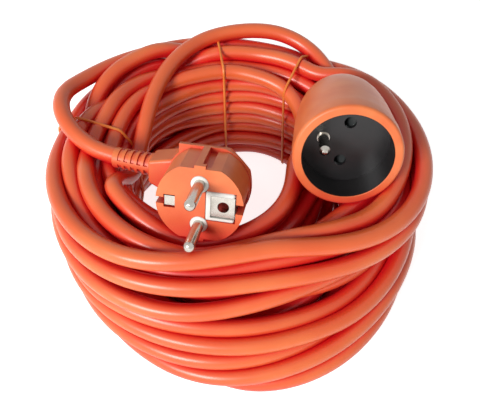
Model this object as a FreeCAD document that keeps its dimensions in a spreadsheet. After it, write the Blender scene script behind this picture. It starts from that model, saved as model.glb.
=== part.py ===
# Extension cord: an angled earthed plug, a moulded socket and a tied coil of cable.
# Millimetres. +Z is up, Z = 0 is the surface the coil lies on, and the origin is under the
# middle of the whole cord. The plug and the socket each have a frame of their own: +Z comes
# straight out of the face, +Y is up in the face, and X = 0, Y = 0 is the middle of the face.
import FreeCAD, Part
import Sketcher
import math
import os
from FreeCAD import Placement, Rotation, Vector

doc = FreeCAD.newDocument("extension_cord")

# ---------------------------------------------------------------- sizes

sheet = doc.addObject("Spreadsheet::Sheet", "Sizes")
sheet.Label = "size"

SIZES = [
    ("cable_width", 8.2),
    ("core_width", 1.9),
    # plug
    ("plug_width", 37.0),
    ("plug_flat_to_flat", 33.0),
    ("plug_reach", 18.5),
    ("plug_depth", 36.5),
    ("ledge_height", 17.8),
    ("ledge_left", 13.3),
    ("ledge_right", 5.0),
    ("ledge_thick", 2.0),
    ("back_slope", 30.0),
    ("plug_yaw", -9.9),
    ("plug_pitch", 20.5),
    ("plug_x", -16.8),
    ("plug_y", -43.0),
    ("plug_z", 76.8),
    ("pin_width", 4.8),
    ("pin_length", 19.0),
    ("pin_spacing", 19.0),
    ("pin_root_width", 4.0),
    ("barrel_width", 3.6),
    ("barrel_bore", 2.0),
    ("barrel_end", -15.0),
    ("collar_width", 7.6),
    ("collar_proud", 0.3),
    ("earth_offset", 10.0),
    ("bridge_front", -6.0),
    ("bridge_thick", 3.0),
    ("bridge_width", 30.4),
    ("window_from", 2.6),
    ("window_length", 12.0),
    ("window_tall", 13.8),
    ("strap_thick", 0.8),
    ("strap_width", 4.4),
    ("strap_plate", 9.4),
    ("strap_leg", 14.0),
    ("strap_base", -11.2),
    ("crimp_height", 3.5),
    ("earth_bore", 4.9),
    ("earth_sleeve_width", 6.2),
    ("boot_tilt", 8.0),
    ("boot_back", 29.0),
    ("boot_start", 27.0),
    ("boot_end", 47.0),
    ("boot_root_width", 11.4),
    ("boot_tip_width", 9.7),
    # socket
    ("socket_width", 48.0),
    ("socket_length", 68.0),
    ("socket_yaw", -4.0),
    ("socket_pitch", 17.5),
    ("socket_roll", -8.0),
    ("socket_x", 46.3),
    ("socket_y", -20.3),
    ("socket_z", 81.2),
    ("cup_width", 42.0),
    ("recess_width", 39.8),
    ("recess_depth", 15.0),
    ("floor_thick", 2.0),
    ("cup_length", 21.6),
    ("hole_width", 5.5),
    ("socket_pin_length", 14.0),
    ("shoulder_width", 5.8),
    ("shutter_thick", 3.8),
    ("shutter_travel", 6.0),
    ("shutter_tall", 26.0),
    ("shutter_window", 6.2),
    ("slide_gap", 0.3),
    ("spring_width", 2.8),
    ("spring_wire", 0.4),
    ("carrier_width", 39.0),
    ("carrier_length", 17.0),
    ("contact_width", 7.2),
    ("contact_length", 14.0),
    ("contact_bore", 4.75),
    # coil and ties
    ("coil_height", 66.0),
    ("tie_width", 1.4),
]

values = {}
for row, (name, value) in enumerate(SIZES, start=1):
    sheet.set(f"A{row}", name)
    sheet.set(f"B{row}", str(value))
    sheet.setAlias(f"B{row}", name)
    values[name] = value
doc.recompute()


def bind(item, **sizes):
    """Ties properties to expressions on the sheet; in a name such as Placement__Base__x, __ is a dot."""
    for name, expression in sizes.items():
        item.setExpression(name.replace("__", "."), written(expression))
    return item


def written(expression):
    """An expression with every size name pointing at its cell."""
    text = str(expression)
    for name in sorted(values, key=len, reverse=True):
        text = text.replace(name, f"\0{list(values).index(name)}\0")
    for index, name in enumerate(values):
        text = text.replace(f"\0{index}\0", f"<<size>>.{name}")
    return text


# ---------------------------------------------------------------- solids by hand

def at(item, x=0, y=0, z=0):
    """Puts a primitive at a place given by expressions."""
    return bind(item, Placement__Base__x=x, Placement__Base__y=y, Placement__Base__z=z)


def box(name, x, y, z):
    """A box between pairs of expressions, each (low, high)."""
    item = doc.addObject("Part::Box", name)
    for side, (low, high) in zip(("Length", "Width", "Height"), (x, y, z)):
        bind(item, **{side: f"({high}) - ({low})"})
    return at(item, x[0], y[0], z[0])


def cylinder(name, width, z, x=0, y=0):
    """A cylinder along Z between two expressions."""
    item = doc.addObject("Part::Cylinder", name)
    bind(item, Radius=f"({width}) / 2", Height=f"({z[1]}) - ({z[0]})")
    return at(item, x, y, z[0])


def fuse(name, *pieces):
    item = doc.addObject("Part::MultiFuse", name)
    item.Shapes = list(pieces)
    return item


def cut(name, base, *tools):
    item = doc.addObject("Part::Cut", name)
    item.Base = base
    item.Tool = tools[0] if len(tools) == 1 else fuse(name + "_cuts", *tools)
    return item


# ---------------------------------------------------------------- bodies and sketches

def body(name):
    return doc.addObject("PartDesign::Body", name)


def sketch(owner, name, plane="XY_Plane", height=0):
    """A sketch on one of the body's own planes, raised off it by an expression."""
    item = owner.newObject("Sketcher::SketchObject", name)
    planes = {feature.Role: feature for feature in owner.Origin.OriginFeatures}
    item.AttachmentSupport = [(planes[plane], "")]
    item.MapMode = "FlatFace"
    return bind(item, AttachmentOffset__Base__z=height)


def draw_circle(item, width, x=0, y=0):
    """A circle whose width and place follow the sheet."""
    index = item.addGeometry(Part.Circle(Vector(0, 0, 0), Vector(0, 0, 1), 1), False)
    item.addConstraint(Sketcher.Constraint("Diameter", index, 2))
    item.setExpression(f"Constraints[{item.ConstraintCount - 1}]", written(width))
    for direction, place in (("DistanceX", x), ("DistanceY", y)):
        item.addConstraint(Sketcher.Constraint(direction, -1, 1, index, 3, 0))
        item.setExpression(f"Constraints[{item.ConstraintCount - 1}]", written(place))
    return index


def draw_outline(item, corners):
    """A closed outline of straight sides through corners given as pairs of expressions."""
    count = len(corners)
    start = item.GeometryCount
    rough = [(10 * math.cos(k), 10 * math.sin(k)) for k in range(count)]
    for k in range(count):
        here, there = rough[k], rough[(k + 1) % count]
        item.addGeometry(Part.LineSegment(Vector(*here, 0), Vector(*there, 0)), False)
    for k in range(count):
        following = start + (k + 1) % count
        item.addConstraint(Sketcher.Constraint("Coincident", start + k, 2, following, 1))
    for k, corner in enumerate(corners):
        for direction, place in zip(("DistanceX", "DistanceY"), corner):
            item.addConstraint(Sketcher.Constraint(direction, -1, 1, start + k, 1, 1))
            item.setExpression(f"Constraints[{item.ConstraintCount - 1}]", written(place))


def draw_box(item, x, y):
    draw_outline(item, [(x[0], y[0]), (x[1], y[0]), (x[1], y[1]), (x[0], y[1])])


def pad(owner, profile, length, down=False):
    item = owner.newObject("PartDesign::Pad", profile.Name + "_pad")
    item.Profile = profile
    item.Reversed = down
    bind(item, Length=length)
    profile.Visibility = False
    return item


def pocket(owner, profile, length, up=False):
    """Cuts from the sketch downwards, or upwards when up is set."""
    item = owner.newObject("PartDesign::Pocket", profile.Name + "_pocket")
    item.Profile = profile
    item.Reversed = up
    bind(item, Length=length)
    return item


def revolve(owner, profile):
    """Turns a sketch drawn on the XZ plane round the body's own Z axis."""
    item = owner.newObject("PartDesign::Revolution", profile.Name + "_turned")
    item.Profile = profile
    item.ReferenceAxis = (profile, ["V_Axis"])
    item.Angle = 360
    return item


sub_parts = []


def keep(item, name, place=Placement()):
    """Names a finished sub-part and puts it in the cord's frame."""
    item.Label = name
    doc.recompute()
    item.Placement = place.multiply(item.Placement)
    sub_parts.append(item)
    return item


def shape_part(name, shape, place=Placement()):
    """A sub-part whose shape is made from the sheet's values with Part's own functions."""
    item = doc.addObject("Part::Feature", name)
    item.Shape = shape
    item.Placement = place
    item.Label = name
    sub_parts.append(item)
    return item


def facing(prefix, roll=0.0):
    """The placement of a face that looks along -Y, turned by its yaw and lifted by its pitch."""
    yaw = Rotation(Vector(0, 0, 1), values[prefix + "_yaw"])
    lift = Rotation(Vector(1, 0, 0), 90 - values[prefix + "_pitch"])
    spin = Rotation(Vector(0, 0, 1), roll)
    base = Vector(values[prefix + "_x"], values[prefix + "_y"], values[prefix + "_z"])
    return Placement(base, yaw.multiply(lift).multiply(spin))


PLUG = facing("plug")
SOCKET = facing("socket", values["socket_roll"])


# ---------------------------------------------------------------- cables and wires

def route(points):
    """Straight runs joined by tangent arcs, each as large as its two runs allow, and the radii."""
    points = [Vector(*point) for point in points]
    edges = []
    radii = []
    start = points[0]
    for before, corner, after in zip(points, points[1:], points[2:]):
        arriving = (corner - before).normalize()
        leaving = (after - corner).normalize()
        turn = arriving.getAngle(leaving)
        back = 0.45 * min((corner - before).Length, (after - corner).Length)
        entry = corner - arriving * back
        leave = corner + leaving * back
        radius = back / math.tan(turn / 2)
        inward = (leaving - arriving).normalize()
        middle = corner + inward * (radius / math.cos(turn / 2) - radius)
        edges.append(Part.LineSegment(start, entry).toShape())
        edges.append(Part.Arc(entry, middle, leave).toShape())
        radii.append(radius)
        start = leave
    edges.append(Part.LineSegment(start, points[-1]).toShape())
    return Part.Wire(edges), radii


def tube(label, points, width):
    """A round tube along a route, with its volume compared with its section times its length."""
    path, radii = route(points)
    first = path.Edges[0]
    direction = first.tangentAt(first.FirstParameter)
    ring = Part.Wire(Part.Circle(Vector(*points[0]), direction, width / 2).toShape())
    solid = path.makePipeShell([ring], True, False)
    if solid.Volume < 0:
        solid.reverse()
    expected = math.pi * width ** 2 / 4 * path.Length
    print(
        f"{label}: {path.Length:.1f} mm long, volume {solid.Volume / expected:.4f} of section "
        f"times length, radii " + ", ".join(f"{radius:.1f}" for radius in radii)
    )
    return solid


# ---------------------------------------------------------------- plug

def slope_tool(name, bearing, reach):
    """A block that lies on the slope of the housing's back, on the side at a bearing from +X."""
    side = 60
    tool = doc.addObject("Part::Box", name)
    bind(tool, Length=side, Width=side, Height=side)
    turn = Rotation(Vector(0, 0, 1), bearing)
    start = turn.multVec(Vector(reach, 0, -values["plug_reach"] - values["ledge_thick"]))
    turn = turn.multiply(Rotation(Vector(0, 1, 0), values["back_slope"]))
    tool.Placement = Placement(start - turn.multVec(Vector(0, side / 2, side)), turn)
    return tool


def plug_body():
    """The moulded body: a round part that goes into a socket, a housing, a neck and a boot."""
    deep = "-plug_depth"
    reach = "-plug_reach"
    disc = cylinder("plug_disc", "plug_width", (reach, "0"))
    flats = box(
        "plug_flats",
        ("-plug_width", "plug_width"),
        ("-plug_flat_to_flat / 2", "plug_flat_to_flat / 2"),
        (reach, "0"),
    )
    front = doc.addObject("Part::Common", "plug_front")
    front.Base = disc
    front.Tool = flats
    block = doc.addObject("Part::Common", "plug_rear_block")
    block.Base = fuse(
        "plug_rear_outline",
        cylinder("plug_housing", "plug_width + 1", (deep, reach)),
        box("plug_ledge", ("-ledge_left", "ledge_right"), ("-plug_width", "plug_width"), (deep, reach)),
    )
    block.Tool = box(
        "plug_rear_flats", ("-plug_width", "plug_width"), ("-ledge_height", "ledge_height"), (deep, reach),
    )
    ledge, rim = values["ledge_height"], values["plug_width"] / 2 + 0.5
    reaches = {90: ledge, 45: rim, 0: rim, 315: rim, 270: ledge}
    slopes = [slope_tool(f"plug_slope_{bearing}", bearing, out) for bearing, out in reaches.items()]
    rear = cut("plug_rear", block, *slopes)
    neck = box("plug_neck", ("-boot_start - 1", "0"), ("-8", "8"), (deep, "-plug_reach - 3"))
    boot = doc.addObject("Part::Cone", "plug_boot")
    bind(
        boot,
        Radius1="boot_root_width / 2",
        Radius2="boot_tip_width / 2",
        Height="boot_end - boot_start + 2",
    )
    boot_axis = doc.addObject("Part::Cylinder", "plug_boot_bore")
    bind(boot_axis, Radius="cable_width / 2 + 0.2", Height="boot_end")
    tilt = math.radians(values["boot_tilt"])
    for item, along in ((boot, values["boot_start"] - 2), (boot_axis, values["boot_start"] - 5)):
        place = Vector(-along, 0, -values["boot_back"] - (along - 20) * math.tan(tilt))
        item.Placement = Placement(place, Rotation(Vector(0, 1, 0), -90 - values["boot_tilt"]))
    outside = fuse("plug_outside", front, rear, neck, boot)

    pin_y = "pin_spacing / 2"
    chamber = cylinder("plug_chamber", "bridge_width + 0.6", ("-plug_reach + 2", "bridge_front + 0.1"))
    wiring = box(
        "plug_wiring", ("-10", "4"), ("-pin_spacing / 2 - 2.2", "pin_spacing / 2 + 2.2"), ("-28", "-16"),
    )
    channel = box("plug_channel", ("-16.5", "-4"), ("-6", "6"), ("-34", "-16"))
    throat = box("plug_throat", ("-boot_start + 2", "-10"), ("-5", "5"), ("-33", "-22"))
    collars = [
        cylinder(f"plug_collar_{side}", "collar_width + 0.2", ("bridge_front", "1"), 0, f"{sign}{pin_y}")
        for side, sign in (("upper", ""), ("lower", "-"))
    ]
    window = box(
        "plug_window",
        ("window_from - 0.1", "window_from + window_length + 0.7"),
        ("-window_tall / 2 - 0.1", "window_tall / 2 + 0.1"),
        ("bridge_front", "1"),
    )
    tab_slot = box("plug_tab_slot", ("-strap_leg - strap_thick - 0.3", "-10"), ("-3", "3"), ("-7", "1"))
    notches = [
        box("plug_notch_right", ("strap_leg", "plug_width"), ("-2.2", "2.2"), ("-14", "1")),
        box("plug_notch_left", ("-plug_width", "-strap_leg"), ("-1.5", "1.5"), ("-14", "1")),
    ]
    return cut(
        "plug_moulding", outside, boot_axis, chamber, wiring, channel, throat, window, tab_slot,
        *collars, *notches,
    )


def plug_bridge():
    """The stiff white carrier: a plate with two collars and the frame round the earth contact."""
    owner = body("plug_bridge_body")
    plate = sketch(owner, "bridge_plate", height="bridge_front - bridge_thick")
    draw_circle(plate, "bridge_width")
    pad(owner, plate, "bridge_thick")
    collars = sketch(owner, "bridge_collars", height="bridge_front")
    draw_circle(collars, "collar_width", 0, "pin_spacing / 2")
    draw_circle(collars, "collar_width", 0, "-pin_spacing / 2")
    pad(owner, collars, "collar_proud - bridge_front")
    frame = sketch(owner, "bridge_frame", height="bridge_front")
    draw_box(
        frame,
        ("window_from", "window_from + window_length"),
        ("-window_tall / 2", "window_tall / 2"),
    )
    pad(owner, frame, "0.2 - bridge_front")
    seat = sketch(owner, "bridge_seat", height="0.2")
    draw_box(
        seat,
        ("window_from + 1", "window_from + window_length + 1"),
        ("-strap_plate / 2 - 0.2", "strap_plate / 2 + 0.2"),
    )
    pocket(owner, seat, "2.4")
    sleeve = sketch(owner, "bridge_sleeve", height="0.2")
    draw_circle(sleeve, "earth_sleeve_width + 0.3", "earth_offset", 0)
    pocket(owner, sleeve, "12")
    for side, sign in (("left", "-"), ("right", "")):
        slot = sketch(owner, f"bridge_{side}_slot", height="1")
        draw_box(
            slot,
            (f"{sign}(strap_leg - 0.4)", f"{sign}(strap_leg + 5)"),
            ("-strap_width / 2 - 0.3", "strap_width / 2 + 0.3"),
        )
        pocket(owner, slot, "12")
    roots = sketch(owner, "bridge_roots", height="1")
    draw_circle(roots, "pin_root_width + 0.1", 0, "pin_spacing / 2")
    draw_circle(roots, "pin_root_width + 0.1", 0, "-pin_spacing / 2")
    pocket(owner, roots, "12")
    return owner


def plug_pin(name, sign):
    """A solid pin with a rounded tip, a thinner root and a barrel crimped on its core."""
    owner = body(name + "_body")
    profile = sketch(owner, name + "_profile", "XZ_Plane")
    draw_outline(profile, [
        ("0", "pin_length"),
        ("pin_width / 4", "pin_length - 0.3"),
        ("pin_width / 2", "pin_length - 1.6"),
        ("pin_width / 2", "collar_proud"),
        ("pin_root_width / 2", "collar_proud"),
        ("pin_root_width / 2", "bridge_front - bridge_thick - 1"),
        ("barrel_width / 2", "bridge_front - bridge_thick - 1"),
        ("barrel_width / 2", "barrel_end"),
        ("barrel_bore / 2", "barrel_end"),
        ("barrel_bore / 2", "barrel_end + 4.5"),
        ("0", "barrel_end + 4.5"),
    ])
    revolve(owner, profile)
    place = Placement(Vector(0, sign * values["pin_spacing"] / 2, 0), Rotation())
    return owner, place


def plug_strap():
    """The bent earth strap: base, two side springs, a tab on the left and a plate round the hole."""
    leg = "strap_leg"
    thick = "strap_thick"
    half = ("-strap_width / 2", "strap_width / 2")
    base = box("strap_base_run", (f"-{leg} - {thick}", f"{leg} + {thick}"), half,
               ("strap_base", "strap_base + strap_thick"))
    left = box("strap_left_leg", (f"-{leg} - {thick}", f"-{leg}"), half, ("strap_base", "-0.6"))
    right = box("strap_right_leg", (leg, f"{leg} + {thick}"), half, ("strap_base", "-0.4"))
    tab = box("strap_tab", (f"-{leg} - {thick}", "-10.4"), half, ("-0.6 - strap_thick", "-0.6"))
    plate = box("strap_plate_run", ("window_from + 1.2", f"{leg} + {thick}"),
                ("-strap_plate / 2", "strap_plate / 2"), ("-0.4 - strap_thick", "-0.4"))
    crimp = box("strap_crimp", ("-9", "-3"), ("-1.5", "1.5"),
                ("strap_base - crimp_height", "strap_base + 0.1"))
    hole = cylinder("strap_hole", "earth_bore", ("-2", "1"), "earth_offset", 0)
    wire = box("strap_crimp_bore", ("-9.5", "-4"), ("-1", "1"), ("strap_base - 2.9", "strap_base - 0.9"))
    solid = fuse("strap_solid", base, left, right, tab, plate, crimp)
    return cut("strap_cut", solid, hole, wire)


def plug_sleeve():
    """The sprung sleeve that takes a socket's earth pin, standing on the strap's base."""
    span = ("strap_base + strap_thick", "-0.4 - strap_thick")
    outer = cylinder("sleeve_outer", "earth_sleeve_width", span, "earth_offset", 0)
    bore = cylinder("sleeve_bore", "earth_bore", ("strap_base + strap_thick - 1", "0"), "earth_offset", 0)
    return cut("sleeve_cut", outer, bore)


keep(plug_body(), "plug_body", PLUG)
keep(plug_bridge(), "plug_inner_bridge", PLUG)
for pin_name, side_sign in (("plug_pin_live", 1), ("plug_pin_neutral", -1)):
    pin, pin_place = plug_pin(pin_name, side_sign)
    keep(pin, pin_name, PLUG.multiply(pin_place))
keep(plug_strap(), "plug_earth_strap", PLUG)
keep(plug_sleeve(), "plug_earth_socket", PLUG)

# Each core leaves its crimp and turns towards the boot, where the sheath begins.
PLUG_CORES = {
    "plug_core_live": [(0, 9.5, -12.5), (0, 9.5, -21), (-7, 5.5, -27), (-16, 1.7, -28.9),
                       (-22, 1.7, -29.6)],
    "plug_core_neutral": [(0, -9.5, -12.5), (0, -9.5, -21), (-7, -5.5, -27), (-16, -1.7, -28.9),
                          (-22, -1.7, -29.6)],
    "plug_core_earth": [(-4.6, 0, -13.1), (-11.5, 0, -13.1), (-14.3, 0, -16.5), (-14.6, 0, -24),
                        (-18, 0, -27.3), (-23, 0, -28)],
}
for core_name, core_points in PLUG_CORES.items():
    shape_part(core_name, tube(core_name, core_points, values["core_width"]), PLUG)


# ---------------------------------------------------------------- socket

def socket_shell():
    """The moulded bell, hollow for the cup and the wiring, with a neck round the cable."""
    owner = body("socket_shell_body")
    profile = sketch(owner, "shell_profile", "XZ_Plane")
    half = "socket_width / 2"
    tail = "-socket_length"
    draw_outline(profile, [
        ("cup_width / 2 + 0.05", "0"),
        (f"{half} - 1.2", "0"),
        (half, "-1.5"),
        (half, "-8"),
        (f"{half} - 0.8", "-20"),
        (f"{half} - 2", "-35"),
        (f"{half} - 4", "-46"),
        (f"{half} - 7", "-53"),
        (f"{half} - 12", "-58.5"),
        (f"{half} - 16", "-61"),
        ("6.6", "-62.5"),
        ("6", tail),
        ("cable_width / 2 + 0.2", tail),
        ("cable_width / 2 + 0.2", "-52"),
        ("12", "-45"),
        ("carrier_width / 2 + 0.3", "-41"),
        ("cup_width / 2 + 0.05", "-cup_length - 1"),
    ])
    revolve(owner, profile)
    return owner


def socket_insert():
    """The black cup: a round recess, a floor with three holes and a skirt round the shutter."""
    owner = body("socket_insert_body")
    wall = sketch(owner, "insert_wall", height="-cup_length")
    draw_circle(wall, "cup_width")
    pad(owner, wall, "cup_length - 0.6")
    recess = sketch(owner, "insert_recess", height="-0.6")
    draw_circle(recess, "recess_width")
    pocket(owner, recess, "recess_depth - 0.6")
    skirt = sketch(owner, "insert_skirt", height="-cup_length")
    draw_circle(skirt, "recess_width")
    pocket(owner, skirt, "cup_length - recess_depth - floor_thick", up=True)
    holes = sketch(owner, "insert_holes", height="-0.6")
    draw_circle(holes, "hole_width", 0, "pin_spacing / 2")
    draw_circle(holes, "hole_width", 0, "-pin_spacing / 2")
    draw_circle(holes, "shoulder_width + 0.2", "-earth_offset", 0)
    pocket(owner, holes, "cup_length")
    return owner


SHUTTER_TOP = "(-recess_depth - floor_thick - slide_gap)"


def socket_shutter():
    """The sliding shutter: solid under both contact holes, with a ramp and a window beside each."""
    owner = body("socket_shutter_body")
    plate = sketch(owner, "shutter_plate", height=f"{SHUTTER_TOP} - shutter_thick")
    tall = "shutter_tall / 2"
    draw_outline(plate, [
        ("-10.4", f"-{tall}"),
        ("8", f"-{tall}"),
        ("8", "-1.9"),
        ("1", "-1.9"),
        ("1", "1.9"),
        ("8", "1.9"),
        ("8", tall),
        ("-10.4", tall),
        ("-10.4", "3.4"),
        ("-6.6", "3.4"),
        ("-6.6", "-3.4"),
        ("-10.4", "-3.4"),
    ])
    pad(owner, plate, "shutter_thick")
    windows = sketch(owner, "shutter_windows", height=SHUTTER_TOP)
    reach = ("-shutter_travel - shutter_window / 2", "-shutter_travel + shutter_window / 2")
    for sign in ("", "-"):
        centre = f"{sign}pin_spacing / 2"
        draw_box(windows, reach, (f"{centre} - shutter_window / 2", f"{centre} + shutter_window / 2"))
    pocket(owner, windows, "shutter_thick + 1")
    ramp = sketch(owner, "shutter_ramp", "XZ_Plane")
    edge = "-shutter_travel + shutter_window / 2"
    draw_outline(ramp, [
        (f"{edge} - 0.1", f"{SHUTTER_TOP} + 0.1"),
        ("2.6", f"{SHUTTER_TOP} + 0.1"),
        (f"{edge} - 0.1", f"{SHUTTER_TOP} - shutter_thick + 0.6"),
    ])
    groove = owner.newObject("PartDesign::Pocket", "shutter_ramp_pocket")
    groove.Profile = ramp
    groove.Midplane = True
    bind(groove, Length="pin_spacing + shutter_window")
    return owner


def shutter_spring():
    """The fine compression spring between the shutter and the skirt of the cup."""
    turns = 9
    wire = values["spring_wire"]
    start = 1.3 + wire / 2
    end = (values["recess_width"] - wire) / 2 - 0.3
    radius = (values["spring_width"] - wire) / 2
    helix = Part.makeHelix((end - start) / turns, end - start, radius)
    path = Part.Wire(helix.Edges)
    ring = Part.Wire(Part.Circle(Vector(radius, 0, 0), Vector(0, 1, 0), wire / 2).toShape())
    spring = path.makePipeShell([ring], True, True)
    under_floor = values["recess_depth"] + values["floor_thick"] + values["slide_gap"]
    middle = -under_floor - values["shutter_thick"] / 2
    spring.Placement = Placement(Vector(start, 0, middle), Rotation(Vector(0, 1, 0), 90))
    return spring


CARRIER_FRONT = "(-cup_length - 0.1)"


def contact_carrier():
    """The rear carrier: a block that holds both contacts and the earth pin."""
    owner = body("carrier_body")
    block = sketch(owner, "carrier_block", height=f"{CARRIER_FRONT} - carrier_length")
    draw_circle(block, "carrier_width")
    pad(owner, block, "carrier_length")
    pockets = sketch(owner, "carrier_pockets", height=CARRIER_FRONT)
    draw_circle(pockets, "contact_width + 0.3", 0, "pin_spacing / 2")
    draw_circle(pockets, "contact_width + 0.3", 0, "-pin_spacing / 2")
    draw_circle(pockets, "pin_width + 0.1", "-earth_offset", 0)
    pocket(owner, pockets, "carrier_length + 1")
    sides = sketch(owner, "carrier_sides", height=CARRIER_FRONT)
    draw_box(sides, ("7", "carrier_width"), ("-carrier_width", "carrier_width"))
    pocket(owner, sides, "carrier_length - 4", up=False)
    return owner


def contact_sleeve(name, sign):
    """A sprung contact sleeve, slit in four, with a barrel crimped on its core."""
    front = "-cup_length - 0.9"
    rear = f"{front} - contact_length"
    middle = f"{sign}pin_spacing / 2"
    outer = cylinder(name + "_outer", "contact_width", (rear, front), 0, middle)
    barrel = cylinder(name + "_barrel", "barrel_width", (f"{rear} - 5", f"{rear} + 1"), 0, middle)
    bore = cylinder(name + "_bore", "contact_bore", (f"{rear} + 1.5", "0"), 0, middle)
    wire = cylinder(name + "_wire", "barrel_bore", (f"{rear} - 6", f"{rear} - 1"), 0, middle)
    slits = [
        box(name + "_slit_x", ("-5", "5"), (f"{middle} - 0.35", f"{middle} + 0.35"), (f"{rear} + 4", "0")),
        box(name + "_slit_y", ("-0.35", "0.35"), (f"{middle} - 5", f"{middle} + 5"), (f"{rear} + 4", "0")),
    ]
    return cut(name + "_cut", fuse(name + "_solid", outer, barrel), bore, wire, *slits)


def socket_pin():
    """The earth pin: a rounded tip, a shoulder seated in the floor, a shank and a crimped barrel."""
    owner = body("socket_pin_body")
    profile = sketch(owner, "socket_pin_profile", "XZ_Plane")
    tip = "(socket_pin_length - recess_depth)"
    rear = "(-cup_length - carrier_length - 0.1)"
    draw_outline(profile, [
        ("0", tip),
        ("pin_width / 4", f"{tip} - 0.3"),
        ("pin_width / 2", f"{tip} - 1.6"),
        ("pin_width / 2", "-recess_depth"),
        ("shoulder_width / 2", "-recess_depth"),
        ("shoulder_width / 2", CARRIER_FRONT),
        ("pin_width / 2", CARRIER_FRONT),
        ("pin_width / 2", rear),
        ("barrel_width / 2", rear),
        ("barrel_width / 2", f"{rear} - 2.5"),
        ("barrel_bore / 2", f"{rear} - 2.5"),
        ("barrel_bore / 2", f"{rear} + 1.5"),
        ("0", f"{rear} + 1.5"),
    ])
    revolve(owner, profile)
    return owner


keep(socket_shell(), "socket_shell", SOCKET)
keep(socket_insert(), "socket_insert", SOCKET)
keep(socket_shutter(), "socket_shutter", SOCKET)
spring_shape = shutter_spring()
shape_part("socket_shutter_spring", spring_shape, SOCKET.multiply(spring_shape.Placement))
keep(contact_carrier(), "socket_contact_carrier", SOCKET)
keep(contact_sleeve("socket_contact_live", ""), "socket_contact_live", SOCKET)
keep(contact_sleeve("socket_contact_neutral", "-"), "socket_contact_neutral", SOCKET)
earth_place = Placement(Vector(-values["earth_offset"], 0, 0), Rotation())
keep(socket_pin(), "socket_earth_pin", SOCKET.multiply(earth_place))

SOCKET_CORES = {
    "socket_core_live": [(0, 9.5, -38.2), (0, 9.5, -43), (0, 4, -48.5), (0, 1.6, -53), (0, 1.6, -55.7)],
    "socket_core_neutral": [(0, -9.5, -38.2), (0, -9.5, -43), (0, -4, -48.5), (0, -1.6, -53),
                            (0, -1.6, -55.7)],
    "socket_core_earth": [(-10, 0, -38), (-10, 0, -43), (-5, 0, -48), (-2.2, 0, -52.7), (-2.2, 0, -55.7)],
}
for core_name, core_points in SOCKET_CORES.items():
    shape_part(core_name, tube(core_name, core_points, values["core_width"]), SOCKET)


# ---------------------------------------------------------------- the cord

# The free stretch from the plug's boot up over the rim of the coil.
PLUG_TAIL = [
    (-35.7, -11.6, 66.5), (-61.0, -3.7, 65.1), (-73.5, 3.0, 67.0), (-82.5, 13.5, 70.0),
    (-87.0, 26.5, 72.0), (-86.5, 40.5, 71.5), (-81.5, 53.0, 69.0), (-73.0, 63.5, 64.8),
    (-62.0, 71.5, 59.0),
]

# The free stretch from the socket's neck over the top of the coil and down its inner wall.
SOCKET_TAIL = [
    (50.0, 33.0, 64.4), (50.9, 45.8, 60.3), (50.1, 57.6, 59.6), (46.3, 68.6, 61.3),
    (39.5, 78.0, 64.3), (30.5, 84.3, 67.2), (19.8, 87.6, 69.6), (8.0, 88.0, 70.6),
    (-5.0, 86.3, 70.6), (-18.0, 81.0, 70.5), (-29.0, 71.5, 70.0), (-37.5, 59.0, 68.5),
    (-43.5, 44.5, 65.5), (-47.0, 29.0, 61.0), (-49.5, 13.5, 54.5), (-52.5, -1.0, 47.5),
]

# Levels of the leaning ring: height, how far its middle lies to the right and to the back, half
# width, half depth. The hole lies to the left, because the inner turns hang loose on the right.
OUTSIDE = [
    (0, 0, -3, 92, 84), (6, 0, -5, 96.5, 88.5), (28, 0, 2, 97, 88), (52, 0, 12, 94, 81.5),
    (values["coil_height"] - 5, 0, 16, 90, 77.5), (values["coil_height"], 0, 17.5, 85, 72),
]
INSIDE = [
    (-1, -12, 5, 54, 61), (28, -13, 10, 47, 56.5), (52, -12, 15, 42, 56),
    (values["coil_height"] + 1, -12, 17, 41, 56),
]
TIE_CENTRE = Vector(0, 8, 0)
TIES = {"coil_tie_left": 168, "coil_tie_back": 99, "coil_tie_right": 62}


def loft(levels):
    """A solid through ellipses stacked up Z."""
    outlines = []
    for height, right, back, wide, deep in levels:
        curve = Part.Ellipse(Vector(0, 0, 0), max(wide, deep), min(wide, deep)).toShape()
        curve.Placement = Placement(
            Vector(right, back, height), Rotation(Vector(0, 0, 1), 90 if deep > wide else 0)
        )
        outlines.append(Part.Wire(curve))
    return Part.makeLoft(outlines, True, False)


def coil_solid():
    """The closed outer shape of the coil, pressed in where the plug and the socket lie on it."""
    ring = loft(OUTSIDE).cut(loft(INSIDE))
    plug_room = Part.makeCylinder(values["plug_width"] / 2 + 1.3, 42, Vector(0, 0, -38))
    neck_box = Part.makeBox(30, 18, 17, Vector(-30, -9, -37.5))
    for room in (plug_room, neck_box):
        room.Placement = PLUG
    tilt = Placement(
        Vector(-20, 0, -values["boot_back"]), Rotation(Vector(0, 1, 0), -90 - values["boot_tilt"])
    )
    boot_room = Part.makeCylinder(values["boot_root_width"] / 2 + 1.2, 30)
    boot_room.Placement = PLUG.multiply(tilt)
    wide = values["socket_width"] / 2 + 0.8
    bell_room = Part.makeCylinder(wide, 46, Vector(0, 0, 1.5), Vector(0, 0, -1))
    end_room = Part.makeCone(wide, wide - 14, 18, Vector(0, 0, -44.5), Vector(0, 0, -1))
    neck_room = Part.makeCylinder(7.2, 12, Vector(0, 0, -values["socket_length"] - 1))
    for room in (bell_room, end_room, neck_room):
        room.Placement = SOCKET
    for room in (plug_room, neck_box, boot_room, bell_room, end_room, neck_room):
        ring = ring.cut(room)
    return ring


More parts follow.
